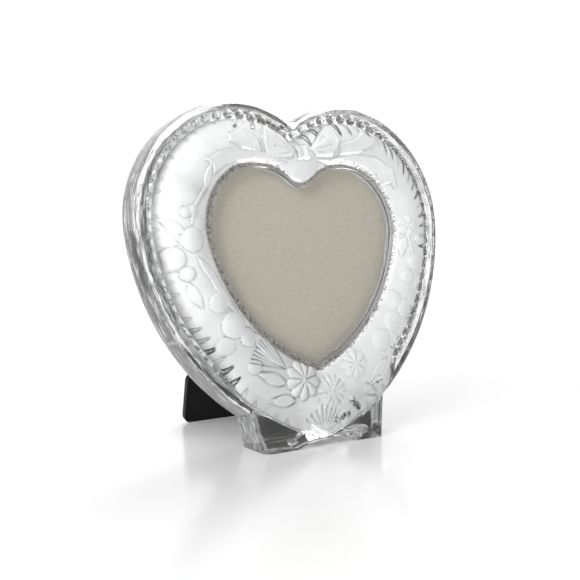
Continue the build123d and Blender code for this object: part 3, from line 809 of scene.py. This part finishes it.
# The rear edge of the sole is rounded like the rest of the rear rim
sole_lift = (GLASS_DEPTH - REAR_ROUND) * np.tan(LEAN) + rear_inset
foot_lifts = np.concatenate([sole_lift, 0 * front_inset])
half = np.stack([foot_outline(*row) for row in zip(foot_insets, foot_depths, foot_lifts)])
mirrored = half[:, -2:0:-1] * [-1, 1]
feet_plan = np.concatenate([half, mirrored], 1)
feet_mesh = ring_mesh("feet", on_face(feet_plan, foot_depths[:, None]), cap=True)
# The feet's sides take the same flow bumps, painted dark lines and painted highlights
on_side = soft_step(foot_depths, 0.4, 2.0)[:, None] * soft_step(-feet_plan[..., 0], 24.0, 30.0)
mark(feet_mesh, "flank", on_side)
mark(feet_mesh, "along", feet_plan[..., 1] * 1.5)
mark(feet_mesh, "across", foot_depths[:, None] * 1.4 + feet_plan[..., 0] * 0.5)
print("feet:", len(feet_mesh.polygons), "faces,", round(face_outwards(feet_mesh) * 1e6, 1), "cm3")

# A tool the shape of the heart inside the rim, so that the feet stop at the rim in front
TOOL_MARGIN = 0.01
TOOL_DEPTHS = np.array([-20.0, SEAT_DEPTH + 3.0])
tool_shares = np.broadcast_to(knots[:, 1] - TOOL_MARGIN, (2, len(column_arc)))
tool_plan = heart_grid(tool_shares, 0.0, COLUMNS)
tool_mesh = ring_mesh("rim_tool", on_face(tool_plan, TOOL_DEPTHS[:, None]), cap=True)
face_outwards(tool_mesh)


# %% Join them
def boolean(piece, tool, operation):
    """Join or cut a piece with a tool, and keep the result as the piece's own mesh."""
    modifier = piece.modifiers.new(operation.lower(), "BOOLEAN")
    modifier.operation = operation
    modifier.solver = "MANIFOLD"
    modifier.object = tool
    depsgraph = bpy.context.evaluated_depsgraph_get()
    result = bpy.data.meshes.new_from_object(piece.evaluated_get(depsgraph))
    piece.modifiers.remove(modifier)
    piece.data = result
    bpy.data.objects.remove(tool)
    return piece


feet = boolean(place_object("feet", feet_mesh), place_object("rim_tool", tool_mesh), "DIFFERENCE")
crystal = boolean(place_object("crystal_heart", heart_mesh), feet, "UNION")
# Behind the tip of the heart, a cylinder that lies from front to rear cuts the arch
ARCH_START, ARCH_STEPS = 5.5, 480
ring_angles = np.linspace(0, 2 * np.pi, ARCH_STEPS, endpoint=False)
arch_ring = ARCH_RADIUS * np.stack([np.sin(ring_angles), 0 * ring_angles, np.cos(ring_angles)], -1)
arch_ring[:, 2] += ARCH_RISE - ARCH_RADIUS
arch_ends = np.array([FRONT_EDGE / MM + ARCH_START, 2 * GLASS_DEPTH])[:, None, None] * [0.0, 1.0, 0.0]
arch_mesh = ring_mesh("arch_tool", (arch_ring + arch_ends) * MM, cap=True)
face_outwards(arch_mesh)
crystal = boolean(crystal, place_object("arch_tool", arch_mesh), "DIFFERENCE")
SHARP_ANGLE = np.radians(38)
crystal.data.shade_smooth()
crystal.data.set_sharp_from_angle(angle=SHARP_ANGLE)
glass_volume = face_outwards(crystal.data) * 1e6
print("glass:", len(crystal.data.polygons), "faces,", round(glass_volume, 1), "cm3")
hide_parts("crystal_frame")
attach(crystal, "frame")

# %% [markdown]
# ## Clear and frosted glass
# Clear crystal is a smooth refracting shader with the slight waviness of pressed glass. Acid
# etching leaves a surface full of tiny pits that scatters light, so the frosted band lets
# some light through but also shines white by itself. The frost attribute mixes the two.
# Dark lines, specks and a streak are painted into the colour of both as painted dark
# reflections, the creases are painted grey as painted shade, and some bands on the flank are
# painted white as a painted highlight.

# %% Glass
glass = Material("crystal", Transmission_Weight=1.0, IOR=1.52, Roughness=0.0)
frosted, painted_shade_in_creases, painted_dark_line_mask, speck_mask_bumped_and_painted_dark, on_flank, along, across = (
    glass.node("ShaderNodeAttribute", {"attribute_name": name})[2]
    for name in ("frost", "painted_crease_shade", "cut", "speck_bumps_and_painted_dark", "flank", "along", "across")
)
where_on_glass = glass.place()
mottling = glass.noise(where_on_glass, 200.0, 4.0)
grain = glass.noise(where_on_glass, 2600.0, 2.0)
waves = glass.noise(where_on_glass, 60.0, 2.0)
streaks = glass.noise(glass.place((1.0, 1.0, 0.16)), 210.0, 2.0)


def flow(lean, scale):
    """Noise drawn out along the flank, whose bands lean by some rise for each millimetre along."""
    inputs = {0: along * 0.06, 1: (across + along * lean) * 0.5, 2: 0.0}
    return glass.noise(glass.node("ShaderNodeCombineXYZ", {}, inputs)[0], scale, 3.0, 0.6)


# A flowing line is where a noise passes through its middle value; on the flank such lines are painted
# dark as painted reflections
flow_up, flow_down = flow(0.10, 1.0), flow(-0.07, 1.3)
painted_dark_lines_up = (1 - (flow_up - 0.5).math("ABSOLUTE") * 14).clamp()
painted_dark_lines_down = (1 - (flow_down - 0.5).math("ABSOLUTE") * 12).clamp()
specks = ((glass.noise(where_on_glass, 950.0, 3.0, 0.6) - 0.49) * 14).clamp()
# Painted dark reflections: dark lines, specks and flank lines make the glass's colour dark
painted_dark = (painted_dark_line_mask * 2.2 + specks * speck_mask_bumped_and_painted_dark * 1.2 + (painted_dark_lines_up * 0.65 + painted_dark_lines_down * 0.5) * on_flank).clamp()
pressed = waves * 0.6 + streaks * 0.5 + (flow_up + flow_down) * on_flank * 0.5
glass.feeds(
    Normal=glass.bump(pressed + specks * speck_mask_bumped_and_painted_dark * 0.3, 0.5, 0.0009),
    Base_Color=glass.blend(painted_dark, (0.97, 0.975, 0.975, 1.0), (0.03, 0.03, 0.032, 1.0)),
)
# Painted shade: the creases turn the etched white grey and show less frost; the mottling is an uneven
# tone
mottling_and_painted_crease_shade = (painted_shade_in_creases * 1.1 + mottling * 0.4).clamp()
etched_white_and_painted_shade = glass.blend(mottling_and_painted_crease_shade, (0.87, 0.875, 0.88, 1.0), (0.40, 0.41, 0.415, 1.0))
etched = glass.node("ShaderNodeBsdfPrincipled", {}, {
    "Base Color": glass.blend(painted_dark, etched_white_and_painted_shade, (0.02, 0.02, 0.021, 1.0)),
    "Roughness": 0.38 + mottling * 0.15,
    "Transmission Weight": 0.2,
    "IOR": 1.52,
    "Normal": glass.bump(grain, 0.2, 0.0002),
})[0]
# Some of the flowing bands on the flank are painted white with the etched shader: a painted highlight
painted_flank_highlight = ((flow_down - 0.51) * 8).clamp() * on_flank
glass.mix_in((frosted * (1 - painted_shade_in_creases * 0.45) + painted_flank_highlight * 0.75).clamp(), etched)
crystal.data.materials.clear()
crystal.data.materials.append(glass.material)
print("crystal:", len(glass.tree.nodes), "nodes")

# %% [markdown]
# ## The card behind the window
# The display card is covered with a pale linen: a plain weave of warm grey threads, a little
# uneven in thickness. Two sine waves at right angles make the weave on Object coordinates.

# %% Linen
THREADS_PER_METRE = 1350.0
linen = Material("linen_card", Sheen_Weight=0.15, Sheen_Roughness=0.5, Specular_IOR_Level=0.25)
along_card = linen.place()
wander = linen.noise(along_card, 90.0, 3.0)
axes = linen.node("ShaderNodeSeparateXYZ", {}, {0: along_card})
warp = (axes[0] * (2 * np.pi * THREADS_PER_METRE) + wander * 2.5).sin()
weft = (axes[2] * (2 * np.pi * THREADS_PER_METRE) + wander * 2.5).sin()
slubs = linen.noise(linen.place((1, 1, 9)), 260.0, 4.0, 0.65)
yarn = linen.noise(linen.place((1, 1, 1.6)), 800.0, 2.0, 0.6)
threads = (warp * weft * 0.5 + 0.5) * 0.3 + slubs * 0.35 + yarn * 0.35
linen.feeds(
    Base_Color=linen.blend(threads, (0.36, 0.341, 0.301, 1), (0.99, 0.942, 0.838, 1)),
    Roughness=0.75 + wander * 0.15,
    Normal=linen.bump(threads, 0.5, 0.0003),
)
dress("display_card", linen)
print("linen:", round(1 / THREADS_PER_METRE / MM, 2), "mm from thread to thread")

# %% [markdown]
# ## Black velour, board, foam and brass
# The back and the strut are wrapped in black velour: very dark, with a short nap that lights
# up at grazing angles and lies in soft patches. The board, foam and card between them hardly
# show: one fine pattern each, of flecks, cells or fibres, gives them colour and a rough skin.

# %% Velour
velour = Material("black_velour", Sheen_Weight=0.35, Sheen_Roughness=0.35, Specular_IOR_Level=0.12)
nap = velour.noise(velour.place(), 60.0, 4.0)
pile = velour.noise(velour.place((1, 1, 0.55)), 3800.0, 2.0)
patches = nap * 0.5 + pile * 0.5
velour.feeds(
    Base_Color=velour.blend(patches, (0.0022, 0.0022, 0.0024, 1), (0.012, 0.012, 0.013, 1)),
    Roughness=0.82 + pile * 0.15,
    Normal=velour.bump(pile, 0.6, 0.0003),
)
dress("board_velour", velour)
dress("strut_board", velour)
print("velour:", len(velour.tree.nodes), "nodes")

# %% Board, foam and card
fibre = Material("fibreboard", Specular_IOR_Level=0.2)
flecks = fibre.noise(fibre.place((1, 1, 0.3)), 900.0, 5.0, 0.7)
fibre.feeds(
    Base_Color=fibre.blend(flecks, (0.10, 0.085, 0.065, 1), (0.20, 0.165, 0.125, 1)),
    Roughness=0.8 + flecks * 0.15,
    Normal=fibre.bump(flecks, 0.4, 0.0002),
)
dress("back_board", fibre)

foam = Material("foam", Specular_IOR_Level=0.15)
cells = foam.node("ShaderNodeTexVoronoi", {}, {"Vector": foam.place(), "Scale": 1400.0})[0]
foam.feeds(
    Base_Color=foam.blend(cells, (0.36, 0.36, 0.35, 1), (0.55, 0.55, 0.54, 1)),
    Roughness=0.9 + cells * 0.08,
    Normal=foam.bump(cells, 0.8, 0.0004),
)
dress("foam_pad", foam)

grey_card = Material("grey_card", Specular_IOR_Level=0.2)
fibres = grey_card.noise(grey_card.place((1, 1, 3)), 700.0, 5.0, 0.65)
grey_card.feeds(
    Base_Color=grey_card.blend(fibres, (0.20, 0.195, 0.18, 1), (0.34, 0.33, 0.31, 1)),
    Roughness=0.78 + fibres * 0.15,
    Normal=grey_card.bump(fibres, 0.3, 0.0002),
)
dress("backing_card", grey_card)
print("fibreboard, foam and grey card are dressed")

# %% [markdown]
# The window pane is a thin heart of float glass between the ledge and the card. Two surfaces
# that share a plane flicker, so it stops a tenth of a millimetre short of both.

# %% Window pane
PANE_FRONT, PANE_REAR, PANE_INSET = 4.0, 5.4, 0.5
# Every sixth column is enough for a flat sheet
pane_columns = [values[::6] for values in COLUMNS]
pane_plan = heart_grid(np.full((2, 1), RECESS_SHARE), PANE_INSET, pane_columns)
pane_depths = np.array([PANE_REAR, PANE_FRONT])[:, None]
pane_mesh = ring_mesh("window_glass", on_face(pane_plan, pane_depths), cap=True)
face_outwards(pane_mesh)
window_glass = place_object("window_glass", pane_mesh)
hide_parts("window_pane")
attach(window_glass, "frame")
# So thin a sheet bends no light: what isn't reflected goes straight through
pane = Material("pane")
pane_waves = pane.noise(pane.place(), 20.0, 2.0)
pane.feeds(Roughness=0.01 + pane_waves * 0.02, Base_Color=(0.0, 0.0, 0.0, 1.0))
edge_on = pane.node("ShaderNodeLayerWeight", {}, {"Blend": 0.5})[1]
mirrored_share = 0.03 + edge_on * edge_on * edge_on * edge_on * 0.7
clear = pane.node("ShaderNodeBsdfTransparent", {}, {"Color": (0.985, 0.98, 0.97, 1.0)})[0]
pane.mix_in(1 - mirrored_share, clear)
pane_mesh.materials.append(pane.material)
print("pane:", round(PANE_REAR - PANE_FRONT, 1), "mm thick,", len(pane_mesh.polygons), "faces")

# %% [markdown]
# Hinge, studs and turn buttons are nickel plated brass: brushed sheet with fine scratches
# along its length, a little dull where hands have been.

# %% Plated brass
brass = Material("plated_brass", Metallic=1.0)
scratches = brass.noise(brass.place((1, 1, 14)), 900.0, 4.0, 0.6)
tarnish = brass.noise(brass.place(), 120.0, 4.0)
brass.feeds(
    Base_Color=brass.blend(tarnish, (0.58, 0.56, 0.52, 1), (0.78, 0.76, 0.72, 1)),
    Roughness=0.2 + scratches * 0.22,
    Normal=brass.bump(scratches, 0.15, 0.0001),
)
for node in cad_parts:
    if node.startswith(("button", "turn_button", "hinge", "strut_rivets")):
        dress(node, brass)
print(len(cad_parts), "packed nodes, of which new glass replaces two")

# %% [markdown]
# ## A white table and soft light
# The photograph was taken on a glossy white sweep. The floor is pale with a faint gloss, the
# light comes from everywhere, and a few dark screens out of sight draw the dark lines that
# give clear glass its edges.

# %% Floor
FLOOR_SIZE, AIR_GAP = 12.0, 0.0001


def flat_sheet(name, width, height, material):
    """A rectangle of one material, with its middle at the origin."""
    x, y = width / 2, height / 2
    mesh = bpy.data.meshes.new(name)
    mesh.from_pydata([(-x, -y, 0), (x, -y, 0), (x, y, 0), (-x, y, 0)], [], [(0, 1, 2, 3)])
    mesh.materials.append(material)
    return place_object(name, mesh)


floor_kit = Material("floor", Specular_IOR_Level=1.0)
haze = floor_kit.noise(floor_kit.place(), 3.0, 2.0)
# The lamps light the table near the heart, and the glow of the sweep takes over further away
far_away = floor_kit.node("ShaderNodeVectorMath", {"operation": "LENGTH"}, {0: floor_kit.place()})[1]
far = ((far_away - 0.3) * 1.6).clamp()
floor_kit.feeds(
    Base_Color=floor_kit.blend(haze, (0.93, 0.93, 0.93, 1), (0.95, 0.95, 0.95, 1)),
    Roughness=0.16 + haze * 0.06,
    Emission_Color=floor_kit.blend(far, (0.03, 0.03, 0.03, 1.0), (1.0, 1.0, 1.0, 1.0)),
    Emission_Strength=0.5,
)
floor = flat_sheet("floor", FLOOR_SIZE, FLOOR_SIZE, floor_kit.material)
# A hair of air under the soles, as on a real table, lets them mirror what is behind
floor.location.z = -AIR_GAP
print("floor:", FLOOR_SIZE, "m wide")


# %% Light
def screen(name, centre, size, towards, level, mirrored=True):
    """A flat grey screen, black where its level is 0, that only glass and mirrors show."""
    paint = Material(name, Base_Color=(0.004, 0.004, 0.004, 1), Roughness=1.0,
                     Emission_Color=(1, 1, 1, 1), Emission_Strength=level)
    board = flat_sheet(name, *size, paint.material)
    board.location = centre
    board.rotation_euler = (Vector(towards) - Vector(centre)).to_track_quat("Z", "Y").to_euler()
    board.visible_camera = False
    board.visible_diffuse = False
    board.visible_shadow = False
    board.visible_glossy = mirrored


HEART_MIDDLE = (0.0, 0.0, 0.08)
screen("left_wall", (-1.3, 0.1, 0.35), (1.0, 1.1), HEART_MIDDLE, 0.4)
screen("left_strip", (-1.0, -0.15, 0.1), (0.05, 0.5), HEART_MIDDLE, 0.25)
screen("right_strip", (0.85, -0.65, 0.2), (0.3, 0.8), HEART_MIDDLE, 0.4)
screen("top_strip", (0.1, 0.5, 1.2), (1.0, 0.12), HEART_MIDDLE, 0.35)
screen("front_strip", (-0.1, -1.5, 0.9), (1.6, 0.2), HEART_MIDDLE, 0.1)

# A black card stands close behind each foot, and shows only through the glass
BEHIND_FEET = FRONT_EDGE + 0.0285
CARD_HEIGHT = 0.021
for name, card_x, card_width in (("left_card", -0.0135, 0.025), ("right_card", 0.0415, 0.033)):
    place = (card_x, BEHIND_FEET, CARD_HEIGHT / 2)
    before = (card_x, -1.0, CARD_HEIGHT / 2)
    screen(name, place, (card_width, CARD_HEIGHT), before, 0.0, mirrored=False)

# The white all round is brighter to look at than as a light
SKY_SEEN, SKY_AS_LIGHT = 1.02, 0.44
world = bpy.data.worlds.new("studio")
world.use_nodes = True
sky = world.node_tree
sky_light = sky.nodes["Background"]
seen = sky.nodes.new("ShaderNodeLightPath")
level = sky.nodes.new("ShaderNodeMapRange")
level.inputs["To Min"].default_value = SKY_SEEN
level.inputs["To Max"].default_value = SKY_AS_LIGHT
sky.links.new(seen.outputs["Is Diffuse Ray"], level.inputs["Value"])
sky.links.new(level.outputs["Result"], sky_light.inputs["Strength"])
sky_light.inputs["Color"].default_value = (1, 1, 1, 1)
bpy.context.scene.world = world


def soft_light(name, place, size, watts):
    """A square area light that looks at the heart."""
    data = bpy.data.lights.new(name, "AREA")
    data.energy, data.size = watts, size
    lamp = bpy.data.objects.new(name, data)
    lamp.location = place
    lamp.rotation_euler = (Vector(HEART_MIDDLE) - lamp.location).to_track_quat("-Z", "Y").to_euler()
    bpy.context.collection.objects.link(lamp)


soft_light("back_right", (0.9, 0.8, 1.3), 0.9, 16.0)
soft_light("front_left", (-1.1, -0.35, 0.7), 1.0, 16.0)
print(len(bpy.data.lights), "lamps and a white sky")
